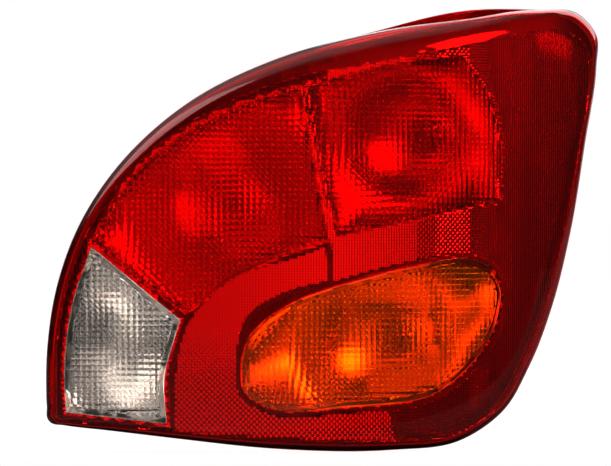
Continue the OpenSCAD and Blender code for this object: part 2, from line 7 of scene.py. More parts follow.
import bmesh
import bpy
import numpy as np
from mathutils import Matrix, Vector
from mathutils.geometry import delaunay_2d_cdt


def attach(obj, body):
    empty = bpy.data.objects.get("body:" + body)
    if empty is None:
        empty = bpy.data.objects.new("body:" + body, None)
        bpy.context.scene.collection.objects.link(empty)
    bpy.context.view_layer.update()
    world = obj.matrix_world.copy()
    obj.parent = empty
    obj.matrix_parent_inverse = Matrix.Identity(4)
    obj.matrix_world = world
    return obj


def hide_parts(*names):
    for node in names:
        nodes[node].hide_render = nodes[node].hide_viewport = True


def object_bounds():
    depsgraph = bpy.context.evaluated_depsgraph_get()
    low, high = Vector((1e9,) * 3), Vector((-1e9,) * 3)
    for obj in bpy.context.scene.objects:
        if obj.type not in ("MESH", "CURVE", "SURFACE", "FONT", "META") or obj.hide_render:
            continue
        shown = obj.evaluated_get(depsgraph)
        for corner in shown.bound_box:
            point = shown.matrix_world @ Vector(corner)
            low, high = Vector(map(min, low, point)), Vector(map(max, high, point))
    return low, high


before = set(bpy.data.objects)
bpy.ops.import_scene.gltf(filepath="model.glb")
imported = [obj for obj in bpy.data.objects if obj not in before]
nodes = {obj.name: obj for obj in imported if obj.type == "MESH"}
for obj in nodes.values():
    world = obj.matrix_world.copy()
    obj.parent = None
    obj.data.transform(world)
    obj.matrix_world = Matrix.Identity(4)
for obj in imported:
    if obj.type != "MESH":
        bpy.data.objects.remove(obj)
cad_low, cad_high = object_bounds()
scene = bpy.context.scene
MM = 0.001

# Sizes of the lens, the same as in the CAD source, in millimetres
LENS_W = 293
LENS_H = 233
LENS_FRONT = 88
LENS_WRAP = 104
WRAP_POWER = 3.5
LENS_CROWN = 10
LENS_TUCK = 6
LENS_T = 2.8
FLANGE_T = 2.5
FACE_LEFT = -51.5 * LENS_W / 100
WINDOW_STEP = 4.5       # how far the indicator window stands proud at its outer end
WINDOW_SINK = 0.8       # and how far it lies back at its inner end
PROUD_FROM = -16.7      # its inner end and its length, in hundredths of the lens width
PROUD_SPAN = 46.4
PROUD_POWER = 1.5
LEAST_SHOULDER = 1      # smallest width and depth of the shoulder's inside
EDGE_R = 0.7            # rounded front edge of the windows
SLIVER = 0.001          # smallest triangle that is kept, in square millimetres
MERGE = 1e-6            # points closer than this, in the mesh's own unit, are taken as one
FAR_OFF = 1e9           # a distance larger than any here
SMOOTH_ANGLE = math.radians(32)
SHOULDER_TURNS = [math.radians(9 * k) for k in range(11)]
EDGE_TURNS = [math.radians(22.5 * k) for k in range(5)]
FRONT_STEP = 3.0        # cells of the plain outer skin
CLEAR_SHARE = 0.45      # share of a cell that the lattice keeps clear of an edge
LATTICE_HALF = 125      # half the height that the lattice covers
SWEEP_SAMPLES = 2000    # points that measure the length of the swept face
RIM_STEPS = 8           # points between two stations: of the rim and the indicator window,
SIDE_STEPS = 12         # of the reversing window,
ZONE_STEPS = 6          # and of the zones of optics


def at(rows):
    """Places on the lens, given in hundredths of its width and of its height."""
    rows = np.array(rows, float)
    rows[..., :2] *= (LENS_W / 100, LENS_H / 100)
    return rows


LENS_MID = at((2.7, -1.7))

# Rim of the lens: x and z in hundredths, width and depth of the shoulder,
# depth of the skirt, and how far the weld flange stands out
RIM_STATIONS = [
    (-51.4, -34.3, 5, 5, 12, 0.6),
    (-51.3, -38.2, 5, 5, 12, 0.6),
    (-51, -41.4, 5, 5, 12, 0.6),
    (-50.5, -42, 5, 5, 12, 0.6),
    (-48.3, -42.5, 6, 5, 12, 0.6),
    (-40.3, -43.7, 7, 6, 12, 0.6),
    (-29, -45.4, 7, 6, 12, 0.6),
    (-10.2, -47.9, 8, 7, 12, 0.6),
    (10.2, -48.4, 8, 7, 12, 0.6),
    (21.8, -46.9, 6, 6, 11, 0.6),
    (30, -40.6, 5, 5, 9, 0.6),
    (35.3, -29.9, 4, 4, 7, 0.6),
    (39.6, -16.3, 4, 4, 6, 0.6),
    (43, 0, 4, 4, 5, 0.6),
    (46.1, 21.5, 4, 4, 5, 0.6),
    (48.5, 39.5, 6, 5, 5, 0.6),
    (48.5, 46.8, 9, 6, 5, 0.6),
    (44.4, 51.7, 14, 8, 6, 0.6),
    (36.9, 51.9, 18, 12, 8, 0.6),
    (23.9, 49.4, 18, 13, 10, 5.4),
    (6.8, 45.7, 16, 12, 12, 0.8),
    (-10.2, 39.6, 12, 10, 12, 0.6),
    (-24.8, 30.7, 10, 8, 12, 0.6),
    (-36.2, 18.8, 7, 6, 12, 0.6),
    (-44.7, 4.1, 6, 5, 12, 0.6),
    (-49.4, -11.2, 5, 5, 12, 0.6),
    (-51.1, -24, 5, 5, 12, 0.6),
]
REVERSING_SIDES = [
    [(-43.3, -2.6), (-46.8, -16.3), (-48.1, -31.8), (-47.8, -39.5)],
    [(-47.8, -39.5), (-30, -42.1)],
    [(-30, -42.1), (-30.4, -32.6), (-27.6, -18.9)],
    [(-27.6, -18.9), (-43.3, -2.6)],
]
INDICATOR_STATIONS = [
    (-16.7, -30.5), (-15, -22.3), (-8.2, -15.5), (2.4, -10.7), (16.7, -6.4), (23.2, -5.2),
    (27.3, -6.9), (29.7, -12), (29.4, -18), (25.9, -27), (18.1, -35.6), (2, -38.6),
    (-12.6, -38.2), (-16, -35.2),
]
TAIL_SIDES = [
    [(-43.3, -1.7), (-34.8, 15), (-21.8, 26.6), (-6.1, 33.5)],
    [(-6.1, 33.5), (-3.4, 15), (-1, -0.9)],
    [(-1, -0.9), (-14, -6.9), (-27, -17.6)],
    [(-27, -17.6), (-43.3, -1.7)],
]
FOG_SIDES = [
    [(-5.5, 33.5), (8.2, 38.2), (22.9, 41.2)],
    [(22.9, 41.2), (27.6, 32.6), (29.7, 20.6), (29.4, 7.7)],
    [(29.4, 7.7), (13.7, 3), (-0.3, -0.9)],
    [(-0.3, -0.9), (-2.7, 15), (-5.5, 33.5)],
]
# The C-shaped band of reflex prisms round the indicator window, bounded by
# an outer and an inner curve from the bottom end to the top end
BAND_OUTER = [(-29, -44.6), (-29, -31.8), (-25.9, -18), (-17.7, -8.6), (-6.8, -4.3), (-1.4, -1.7)]
BAND_INNER = [(-1, -10.7), (-8.9, -13.3), (-15, -18), (-17.1, -25.8), (-17.1, -31.8),
              (-13.7, -37.8), (-4.8, -39.1), (8.9, -37.8), (11.3, -47.2)]


# Curves
def slope(a, b, c):
    """Rate of change at b along a row of stations."""
    d0, d1 = np.hypot(*(b - a)[:2]), np.hypot(*(c - b)[:2])
    return ((b - a) * d1 / d0 + (c - b) * d0 / d1) / (d0 + d1)


def blend(p, q, m, n, u):
    """Cubic from p to q with the rates m and n, at u from 0 to 1."""
    d = np.hypot(*(q - p)[:2])
    v = 1 - u
    return p * v * v * (1 + 2 * u) + q * u * u * (3 - 2 * u) + (m * v - n * u) * u * v * d


def loop_through(stations, steps):
    """A smooth closed curve through all stations."""
    st = [np.array(s, float) for s in stations]
    n = len(st)
    out = []
    for i in range(n):
        a, b, c, e = st[i - 1], st[i], st[(i + 1) % n], st[(i + 2) % n]
        out += [blend(b, c, slope(a, b, c), slope(b, c, e), k / steps) for k in range(steps)]
    return np.array(out)


def side_through(stations, steps):
    """A smooth open curve through all stations, without its last point."""
    st = [np.array(s, float) for s in stations]
    m = [2 * st[0] - st[1]] + st + [2 * st[-1] - st[-2]]
    out = []
    for i in range(1, len(st)):
        a, b, c, e = m[i - 1], m[i], m[i + 1], m[i + 2]
        out += [blend(b, c, slope(a, b, c), slope(b, c, e), k / steps) for k in range(steps)]
    return out


def outline(sides, steps):
    """A closed outline whose sides meet at corners, in millimetres."""
    return at([p for side in sides for p in side_through(side, steps)])


def grown(pts, d):
    """An outline moved outwards, with mitred corners."""
    after = np.roll(pts, -1, axis=0) - pts
    after /= np.linalg.norm(after, axis=1)[:, None]
    before = np.roll(after, 1, axis=0)
    area = np.sum(pts[:, 0] * np.roll(pts[:, 1], -1) - np.roll(pts[:, 0], -1) * pts[:, 1])
    way = math.copysign(1, area)
    na = way * np.stack([before[:, 1], -before[:, 0]], 1)
    nb = way * np.stack([after[:, 1], -after[:, 0]], 1)
    return pts + d * (na + nb) / (1 + np.sum(na * nb, axis=1))[:, None]


# Lens form
def across(x):
    """Share of the lens width, from its inner edge."""
    return np.maximum(0, (x - FACE_LEFT) / LENS_W)


def face_y(x, z):
    """The lens face: swept back to the outer side, crowned and tucked under."""
    fall = np.where(z > 0, LENS_CROWN, LENS_TUCK) * (2 * z / LENS_H) ** 2
    return -LENS_FRONT + LENS_WRAP * across(x) ** WRAP_POWER + fall


def steep(x):
    """Length along y of a wall of thickness 1 that is square to the swept face."""
    return np.sqrt(1 + (LENS_WRAP * WRAP_POWER * across(x) ** (WRAP_POWER - 1) / LENS_W) ** 2)


def back_y(x, z):
    """The inner skin, one wall behind the face."""
    return face_y(x, z) + LENS_T * steep(x)


def proud(x):
    """How far the indicator window stands ahead of the face."""
    u = np.clip((100 * x / LENS_W - PROUD_FROM) / PROUD_SPAN, 0, 1)
    return (WINDOW_STEP + WINDOW_SINK) * u ** PROUD_POWER - WINDOW_SINK


def inset(rim, e):
    """The rim moved towards the middle of the lens."""
    way = LENS_MID - rim[:, :2]
    return rim[:, :2] + np.reshape(e, (-1, 1)) * way / np.linalg.norm(way, axis=1)[:, None]


def shoulder_ring(rim, angle, back):
    """One ring of the rounded shoulder, or of its inside, a wall further back."""
    w = np.maximum(rim[:, 2] - back, LEAST_SHOULDER)
    d = np.maximum(rim[:, 3] - back, LEAST_SHOULDER)
    p = inset(rim, back + w * (1 - math.sin(angle)))
    x, z = p[:, 0], p[:, 1]
    return np.stack([x, face_y(x, z) + back * steep(x) + d * (1 - math.cos(angle)), z], 1)


def edge_ring(rim, out, back):
    """One ring of the flange, set outwards and back from the skirt's end."""
    p = inset(rim, -out)
    y = face_y(rim[:, 0], rim[:, 1]) + rim[:, 3] + rim[:, 4] + back
    return np.stack([p[:, 0], y, p[:, 1]], 1)


# Lattice
def inside(pts, poly):
    """Which points lie inside an outline."""
    x, z = pts[..., 0], pts[..., 1]
    hit = np.zeros(x.shape, bool)
    for a, b in zip(poly, np.roll(poly, -1, axis=0)):
        if a[1] == b[1]:
            continue
        between = (a[1] > z) != (b[1] > z)
        hit ^= between & (x < (b[0] - a[0]) * (z - a[1]) / (b[1] - a[1]) + a[0])
    return hit


def distance(pts, poly):
    """How far points are from an outline."""
    best = np.full(pts.shape[:-1], FAR_OFF)
    for a, b in zip(poly, np.roll(poly, -1, axis=0)):
        ab = b - a
        t = np.clip(((pts - a) @ ab) / (ab @ ab), 0, 1)
        best = np.minimum(best, np.linalg.norm(pts - a - t[..., None] * ab, axis=-1))
    return best


class Shell:
    """Vertices and faces of one lens piece, as they are added."""

    def __init__(self):
        self.points = []
        self.faces = []

    def ring(self, pts):
        first = len(self.points)
        self.points += [tuple(p) for p in pts]
        return list(range(first, first + len(pts)))

    def bridge(self, a, b):
        """Quads between two rings of the same length; a is the outer one."""
        n = len(a)
        for i in range(n):
            j = (i + 1) % n
            self.faces.append((a[i], a[j], b[j], b[i]))

    def fill(self, rings, covered, flip):
        """Triangles over what lies inside the first ring and outside the others,
        apart from what the lattice covers already."""
        ids = [i for ring in rings for i in ring]
        flat = [Vector((self.points[i][0], self.points[i][2])) for i in ids]
        edges, first = [], 0
        for ring in rings:
            n = len(ring)
            edges += [(first + k, first + (k + 1) % n) for k in range(n)]
            first += n
        points, _, tris, origin, _, _ = delaunay_2d_cdt(flat, edges, [], 0, MERGE)
        corners = np.array([[points[v][:] for v in tri] for tri in tris])
        one, other = corners[:, 1] - corners[:, 0], corners[:, 2] - corners[:, 0]
        area = one[:, 0] * other[:, 1] - one[:, 1] * other[:, 0]
        for tri, use in zip(tris, covered(corners.mean(axis=1)) & (area > SLIVER)):
            if use:
                face = tuple(ids[origin[v][0]] for v in tri)
                self.faces.append(face[::-1] if flip else face)

    def skin(self, rim_ids, hole_ids, step, y_at, flip, relief=None):
        """A lattice of square cells over a ring's inside, joined to the ring."""
        p = np.array(self.points)
        rim = p[rim_ids][:, [0, 2]]
        holes = [p[h][:, [0, 2]] for h in hole_ids]
        xs, zs = lattice_lines(rim, step)
        grid = np.stack(np.meshgrid(xs, zs, indexing="ij"), -1)
        keep = inside(grid, rim) & (distance(grid, rim) > CLEAR_SHARE * step)
        for h in holes:
            keep &= ~inside(grid, h) & (distance(grid, h) > CLEAR_SHARE * step)
        cell = keep[:-1, :-1] & keep[1:, :-1] & keep[1:, 1:] & keep[:-1, 1:]
        drop_corner_touches(cell)
        used = np.zeros(keep.shape, bool)
        for di in (0, 1):
            for dj in (0, 1):
                used[di:di + cell.shape[0], dj:dj + cell.shape[1]] |= cell
        y = y_at(grid[..., 0], grid[..., 1])
        if relief is not None:
            y = y + relief(grid)
        ids = np.full(keep.shape, -1)
        ids[used] = np.arange(used.sum()) + len(self.points)
        used_points = np.stack([grid[..., 0][used], y[used], grid[..., 1][used]], 1)
        self.points += [tuple(v) for v in used_points]
        ci, cj = np.nonzero(cell)
        quads = np.stack([ids[ci, cj], ids[ci + 1, cj], ids[ci + 1, cj + 1], ids[ci, cj + 1]], 1)
        slant = (ci + cj) % 2 == 1
        drawn = np.where(slant[:, None], np.roll(quads, -1, axis=1), quads)
        halves = np.concatenate([drawn[:, [0, 1, 2]], drawn[:, [0, 2, 3]]])
        self.faces += [tuple(t[::-1]) if flip else tuple(t) for t in halves.tolist()]
        loops = boundary_loops(quads)

        def open_place(pts):
            i = np.clip(np.searchsorted(xs, pts[:, 0]) - 1, 0, len(xs) - 2)
            j = np.clip(np.searchsorted(zs, pts[:, 1]) - 1, 0, len(zs) - 2)
            good = inside(pts, rim) & ~cell[i, j]
            for h in holes:
                good &= ~inside(pts, h)
            return good

        self.fill([rim_ids] + hole_ids + loops, open_place, flip)

    def finish(self, name, mat):
        low, high = np.array(cad_low) / MM, np.array(cad_high) / MM
        pts = np.clip(np.array(self.points), low, high) * MM
        mesh = bpy.data.meshes.new(name)
        mesh.from_pydata(pts.tolist(), [], [tuple(int(i) for i in f) for f in self.faces])
        mesh.validate()
        piece = bpy.data.objects.new(name, mesh)
        scene.collection.objects.link(piece)
        mesh.materials.append(mat)
        smooth(piece, SMOOTH_ANGLE)
        return piece


def smooth(piece, angle):
    bpy.ops.object.select_all(action="DESELECT")
    piece.select_set(True)
    bpy.context.view_layer.objects.active = piece
    bpy.ops.object.shade_smooth_by_angle(angle=angle)


def lattice_lines(rim, step):
    """Lines at equal spacing along the swept face, so cells look narrower to the right."""
    x = np.linspace(FACE_LEFT - 1, FACE_LEFT + LENS_W + 2, SWEEP_SAMPLES)
    s = np.concatenate([[0], np.cumsum(np.hypot(np.diff(x), np.diff(face_y(x, 0 * x))))])
    n = int(s[-1] / step)
    xs = np.interp(np.arange(n + 1) * step, s, x)
    half = math.ceil(LATTICE_HALF / step)
    zs = np.arange(-half, half + 1) * step
    return xs, zs


def drop_corner_touches(cell):
    """Leaves no two cells that meet only at a corner, so that each edge loop is simple."""
    while True:
        a, b, c, d = cell[:-1, :-1], cell[1:, :-1], cell[1:, 1:], cell[:-1, 1:]
        rising = a & c & ~b & ~d
        falling = b & d & ~a & ~c
        if not (rising.any() or falling.any()):
            return
        cell[:-1, :-1] &= ~rising
        cell[1:, :-1] &= ~falling


def boundary_loops(quads):
    """The closed loops of edges round a patch of cells."""
    edges = {}
    for q in quads.tolist():
        for a, b in zip(q, q[1:] + q[:1]):
            if (b, a) in edges:
                del edges[(b, a)]
            else:
                edges[(a, b)] = True
    follow = {a: b for a, b in edges}
    loops = []
    while follow:
        start = next(iter(follow))
        loop = [start]
        here = follow.pop(start)
        while here != start:
            loop.append(here)
            here = follow.pop(here)
        loops.append(loop)
    return loops


def anticlockwise(p):
    x, z = p[:, 0], p[:, 1]
    return p if np.sum(x * np.roll(z, -1) - np.roll(x, -1) * z) > 0 else p[::-1]


# Optics, in millimetres
STEP = 0.725          # a quarter of a pillow, which is 2.9 mm wide as on such lenses
PILLOW = [0, 0.75, 1.0, 0.75]   # heights of a rounded pillow at its quarters
PILLOW_RISE = 0.7
WINDOW_RISE = 0.6     # height of the pillows in both windows
INNER_CLEAR = 0.97    # share of the wall that the windows' inner corners keep
PRISM_RISE = STEP     # faces at right angles, which send light back
FLUTE_RISE = 0.3
FLUTES_FROM = 82      # the flutes start right of this x
GROOVE_HALF = 0.5     # half the width of the plain line round the band
GROOVE_EDGE = 1.2     # width over which the prisms rise beside that line
BEAD_W = 1.3          # width of the row of beads inside each lit zone's edge
FIELD_FROM = -4       # the prism field over the indicator window: from this x
FIELD_ABOVE = -35     # and above this z
FADE_FROM = 42        # from this x on every second prism is shallower
FADE_TO = 70          # and from here on all are
FIELD_FADE = 0.8
BAND_LOW_FROM = 50    # every second prism of the band grows shallower below this depth
BAND_LOW_FADE = 25
BORDER_SHARE = 0.6    # height of the prisms in the plain border
INDICATOR_RIM = 1.6   # width of the plain rim round the indicator window
LOW_FROM = 85         # the shoulder's inside is narrower below this depth
LOW_FADE = 12
LOW_SHARE = 0.6


def pillows(grid, rise):
    """Rounded pillows, four cells wide."""
    i = np.arange(grid.shape[0])[:, None] % len(PILLOW)
    j = np.arange(grid.shape[1])[None, :] % len(PILLOW)
    bump = np.array(PILLOW)
    return rise * (bump[i] + bump[j]) / 2


def prisms(grid, rise):
    """Four-sided prisms, two cells wide."""
    i = np.arange(grid.shape[0])[:, None] % 2
    j = np.arange(grid.shape[1])[None, :] % 2
    return rise * i * j


def every_other(grid):
    """Every second prism, as on a chessboard."""
    i = np.arange(grid.shape[0])[:, None] // 2
    j = np.arange(grid.shape[1])[None, :] // 2
    return (i + j) % 2 == 0


def flutes(grid, rise):
    """Upright ribs."""
    i = np.arange(grid.shape[0])[:, None] % 2
    return np.broadcast_to(rise * i, grid.shape[:2])


RIM = at(loop_through(RIM_STATIONS, RIM_STEPS))
REVERSING = outline(REVERSING_SIDES, SIDE_STEPS)
INDICATOR = at(loop_through(INDICATOR_STATIONS, RIM_STEPS))
TAIL = outline(TAIL_SIDES, ZONE_STEPS)
FOG = outline(FOG_SIDES, ZONE_STEPS)
BAND = at(side_through(BAND_OUTER, ZONE_STEPS) + [BAND_OUTER[-1]]
          + side_through(BAND_INNER, ZONE_STEPS) + [BAND_INNER[-1]])


def red_relief(grid):
    """Pillows over the bowls, prisms on the band and round it, flutes at the outer side."""
    x, z = grid[..., 0], grid[..., 1]
    lit = inside(grid, TAIL) | inside(grid, FOG)
    bead = lit & (np.minimum(distance(grid, TAIL), distance(grid, FOG)) < BEAD_W)
    field = (x > FIELD_FROM) & (z > FIELD_ABOVE) & (x < FLUTES_FROM)
    prism = prisms(grid, PRISM_RISE)
    shallow = (x > FADE_FROM) & (every_other(grid) | (x > FADE_TO))
    low = np.clip((-z - BAND_LOW_FROM) / BAND_LOW_FADE, 0, 1)
    speckle = np.where(every_other(grid), 1 - (1 - FIELD_FADE) * low, 1)
    fade = np.where(shallow, FIELD_FADE, speckle)
    beside = np.minimum(distance(grid, BAND), distance(grid, INDICATOR) - INDICATOR_RIM)
    groove = np.clip((beside - GROOVE_HALF) / GROOVE_EDGE, 0, 1)
    out = np.select([bead, lit, inside(grid, BAND), field, x > FLUTES_FROM],
                    [prism, pillows(grid, PILLOW_RISE), prism * speckle, prism * fade,
                     flutes(grid, FLUTE_RISE)],
                    prism * BORDER_SHARE)
    return out * groove


def red_lens(mat):
    """The red shell: shoulder, skirt, flange and inside, with two openings."""
    shell = Shell()
    lip, none = RIM[:, 5], 0 * RIM[:, 5]
    outer = [shell.ring(shoulder_ring(RIM, a, 0)) for a in SHOULDER_TURNS]
    for out, back in ((none, -FLANGE_T), (lip, -FLANGE_T), (lip, 0), (none - LENS_T, 0)):
        outer.append(shell.ring(edge_ring(RIM, out, back)))
    # Along the bottom the optics reach closer to the edge than the shoulder's width
    low = np.clip((-RIM[:, 1] - LOW_FROM) / LOW_FADE, 0, 1)
    tight = RIM.copy()
    tight[:, 2] -= LOW_SHARE * low * (RIM[:, 2] - LENS_T)
    outer += [shell.ring(shoulder_ring(tight, a, LENS_T)) for a in reversed(SHOULDER_TURNS)]
    for a, b in zip(outer, outer[1:]):
        shell.bridge(b, a)
    fronts, backs = [], []
    for edge in (REVERSING, INDICATOR):
        pts = anticlockwise(edge)
        x, z = pts[:, 0], pts[:, 1]
        fronts.append(shell.ring(np.stack([x, face_y(x, z), z], 1)))
        backs.append(shell.ring(np.stack([x, back_y(x, z), z], 1)))
        shell.bridge(fronts[-1], backs[-1])
    shell.skin(outer[0], fronts, FRONT_STEP, face_y, False)
    shell.skin(outer[-1], backs, STEP, back_y, True, red_relief)
    return shell.finish("red_lens_shell", mat)


def window(name, edge, front, mat, rise):
    """A clear or amber plate with a rounded front edge and pillows inside."""
    pts = anticlockwise(edge)
    shell = Shell()

    def level(p, y):
        return np.stack([p[:, 0], y(p[:, 0], p[:, 1]), p[:, 1]], 1)

    rings = []
    for a in EDGE_TURNS:
        p = grown(pts, -EDGE_R * (1 - math.sin(a)))
        rings.append(shell.ring(level(p, lambda x, z: front(x, z) + EDGE_R * (1 - math.cos(a)))))
    rings.append(shell.ring(level(pts, back_y)))
    for a, b in zip(rings, rings[1:]):
        shell.bridge(b, a)
    inner = grown(pts, -LENS_T)
    inner = inner[inside(inner, pts) & (distance(inner, pts) > INNER_CLEAR * LENS_T)]
    foot = shell.ring(level(inner, back_y))
    top = shell.ring(level(inner, lambda x, z: front(x, z) + LENS_T))
    shell.fill([rings[-1], foot], lambda q: inside(q, pts) & ~inside(q, inner), True)
    shell.bridge(top, foot)
    shell.skin(rings[0], [], FRONT_STEP, front, False)
    shell.skin(top, [], STEP, lambda x, z: front(x, z) + LENS_T, True, lambda g: pillows(g, rise))
    return shell.finish(name, mat)


# Materials
def colour(code):
    """A hex colour as linear RGBA."""
    parts = [int(code[i:i + 2], 16) / 255 for i in (1, 3, 5)]
    return tuple(c / 12.92 if c <= 0.04045 else ((c + 0.055) / 1.055) ** 2.4 for c in parts) + (1,)


def material(name, **settings):
    """A material whose shader has these inputs set."""
    mat = bpy.data.materials.new(name)
    mat.use_nodes = True
    shader = mat.node_tree.nodes["Principled BSDF"]
    for key, value in settings.items():
        shader.inputs[key.replace("_", " ")].default_value = value
    return mat


def add(owner, kind, settings=None, links=None, out=None):
    """Adds a node with its settings, feeds its inputs and links its first output on."""
    tree = owner.node_tree
    node = tree.nodes.new(kind)
    for key, value in (settings or {}).items():
        if isinstance(key, int) or key in node.inputs:
            node.inputs[key].default_value = value
        else:
            setattr(node, key, value)
    for key, source in (links or {}).items():
        tree.links.new(source, node.inputs[key])
    if out is not None:
        tree.links.new(node.outputs[0], out)
    return node


def deepen(mat, tint, density):
    """Absorbs light inside the moulding, so that it looks deeper where it is seen edge on."""
    add(mat, "ShaderNodeVolumeAbsorption", {"Color": tint, "Density": density},
        out=mat.node_tree.nodes["Material Output"].inputs["Volume"])


def grain(mat, size, depth):
    """Fine surface grain: grains of a size and a depth in millimetres."""
    place = add(mat, "ShaderNodeTexCoord")
    noise = add(mat, "ShaderNodeTexNoise", {"Scale": 1 / (size * MM), "Detail": 2.0},
                {"Vector": place.outputs["Object"]})
    add(mat, "ShaderNodeBump", {"Distance": depth * MM}, {"Height": noise.outputs[0]},
        mat.node_tree.nodes["Principled BSDF"].inputs["Normal"])


# Dyed acrylic from a polished mould: a wet gloss, and a colour that deepens with the way
# through it
red_acrylic = material("red acrylic", Base_Color=colour("#fa2a26"), Roughness=0.03, IOR=1.49,
                       Transmission_Weight=1.0)
deepen(red_acrylic, (0.88, 0, 0, 1), 400)
amber_acrylic = material("amber acrylic", Base_Color=colour("#fc820a"), Roughness=0.03, IOR=1.49,
                         Transmission_Weight=1.0)
deepen(amber_acrylic, (0.94, 0.5, 0, 1), 200)

# Undyed acrylic: clear with a faint warm tint
clear_acrylic = material("clear acrylic", Base_Color=colour("#ebe1da"), Roughness=0.03, IOR=1.49,
                         Transmission_Weight=1.0)

# Moulded ABS with a spark-eroded texture: a soft sheen. The real grain is about 0.2 mm
# and is drawn coarser here, so that it shows
grey_abs = material("dark grey ABS", Base_Color=colour("#60605e"), Roughness=0.5)
grain(grey_abs, 0.9, 0.03)

# Aluminium vapour on lacquered plastic: a slightly soft mirror
metallised = material("aluminium metallising", Base_Color=colour("#dcdcda"), Metallic=1.0,
                      Roughness=0.12)

# Cut closed-cell foam: dull black with small pits, its cells about 1 mm wide
foam = material("closed-cell foam", Base_Color=colour("#1b1b1c"), Roughness=0.9)
grain(foam, 1.0, 0.25)

# Moulded filled nylon: half matt, with a faint flow texture
grey_nylon = material("grey nylon", Base_Color=colour("#9a9b98"), Roughness=0.55)
grain(grey_nylon, 1.2, 0.02)

# Moulded rubber: matt and black, faintly uneven
rubber = material("rubber", Base_Color=colour("#141414"), Roughness=0.7)
grain(rubber, 1.5, 0.03)

# Rolled and stamped brass: bright, with a trace of the rolling
brass = material("brass", Base_Color=colour("#d6b25e"), Metallic=1.0, Roughness=0.3)
grain(brass, 0.8, 0.004)

# Zinc-plated steel: a pale grey metal with a fine crystalline unevenness
zinc_steel = material("zinc-plated steel", Base_Color=colour("#b4b6b4"), Metallic=1.0,
                      Roughness=0.35)
grain(zinc_steel, 0.6, 0.01)

# Thin blown glass: quite smooth, so that it shows only by its glints
blown_glass = material("blown glass", Base_Color=colour("#fbfcfc"), Roughness=0.0, IOR=1.5,
                       Transmission_Weight=1.0)

# Fused black glass in the foot of each bulb: shiny
black_glass = material("black vitrified glass", Base_Color=colour("#0d0d10"), Roughness=0.2)

# Solidified solder: a soft grey metal
solder = material("solder", Base_Color=colour("#b8babc"), Metallic=1.0, Roughness=0.35)

# Drawn tungsten wire: dark grey metal
tungsten = material("tungsten", Base_Color=colour("#6a6a6e"), Metallic=1.0, Roughness=0.4)


def finish_node(name, mat):
    """Gives one CAD node its material."""
    node = nodes[name]
    node.data.materials.clear()
    node.data.materials.append(mat)


for name in nodes:
    if name.endswith("_glass"):
        finish_node(name, blown_glass)
    elif name.endswith("_cap"):
        finish_node(name, brass)
    elif name.endswith("_insulator"):
        finish_node(name, black_glass)
    elif "_contact" in name:
        finish_node(name, solder)
    elif "_filament" in name:
        finish_node(name, tungsten)
    elif name.endswith("_track"):
        finish_node(name, brass)
finish_node("housing", grey_abs)
finish_node("body_seal", foam)
finish_node("bulb_carrier", grey_nylon)
finish_node("carrier_gasket", rubber)
finish_node("fixing_studs", zinc_steel)

# Pieces
lens = red_lens(red_acrylic)
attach(lens, "root")
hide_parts("red_lens")
clear = window("reversing_window_plate", REVERSING, face_y, clear_acrylic, WINDOW_RISE)
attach(clear, "root")
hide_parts("reversing_window")
amber = window("indicator_window_plate", INDICATOR, lambda x, z: face_y(x, z) - proud(x),
               amber_acrylic, WINDOW_RISE)
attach(amber, "root")
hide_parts("indicator_window")


# Bowls: outline, place of the bulb's axis, and focal length
FILAMENT_Y = -33
RECESS_Y = -12.5        # depth of the recess that the bulb carrier closes
WALL_TOP = 1.0          # the coating also covers the tops of the walls between the bowls
FACING = -0.1           # faces whose normal points to the lens by more than this are coated,
BOWL_SLACK = 1          # and so are all that lie less than this behind the bowl's curve,
RECESS_SLACK = 0.5      # but none that is closer than this to the recess
HOUSING_ANGLE = math.radians(30)
BOWLS = [(TAIL, (-18.4, 6.9), 18), (FOG, (16, 22.3), 16), (REVERSING, (-33.4, -24), 14),
         (INDICATOR, (10.6, -23.2), 18)]


def metallised_housing():
    """The housing with its bowls coated, as a merged copy of the CAD mesh."""
    mesh = nodes["housing"].data.copy()
    piece = bpy.data.objects.new("housing_metallised", mesh)
    scene.collection.objects.link(piece)
    bm = bmesh.new()
    bm.from_mesh(mesh)
    bmesh.ops.remove_doubles(bm, verts=bm.verts, dist=MERGE)
    bm.to_mesh(mesh)
    bm.free()
    mesh.materials.clear()
    mesh.materials.append(grey_abs)
    mesh.materials.append(metallised)
    centres = np.array([f.center[:] for f in mesh.polygons]) / MM
    facing = np.array([f.normal[1] for f in mesh.polygons]) < FACING
    xz = centres[:, [0, 2]]
    coated = np.zeros(len(centres), bool)
    for edge, axis, focus in BOWLS:
        r = np.linalg.norm(xz - at(axis), axis=1)
        bowl_y = FILAMENT_Y + focus - r * r / (4 * focus)
        near = inside(xz, edge) | (distance(xz, edge) < WALL_TOP)
        ahead = centres[:, 1] < bowl_y + BOWL_SLACK
        coated |= near & (facing | ahead) & (centres[:, 1] < RECESS_Y - RECESS_SLACK)
    mesh.polygons.foreach_set("material_index", coated.astype(int))
    smooth(piece, HOUSING_ANGLE)
    return piece


# The strip behind the lens flange: how far it stays inside the flange, and where it starts and ends
STRIP_IN = 0.2
STRIP_NEAR = 0.1
STRIP_FAR = 1.4


def rim_strip():
    """The edge of the housing's weld rim, which backs the lens flange all round."""
    shell = Shell()
    out, none = RIM[:, 5] - STRIP_IN, 0 * RIM[:, 5]
    corners = ((none, STRIP_NEAR), (out, STRIP_NEAR), (out, STRIP_FAR), (none, STRIP_FAR))
    rings = [shell.ring(edge_ring(RIM, o, b)) for o, b in corners]
    for a, b in zip(rings, rings[1:] + rings[:1]):
        shell.bridge(b, a)
    return shell.finish("housing_weld_rim", grey_abs)


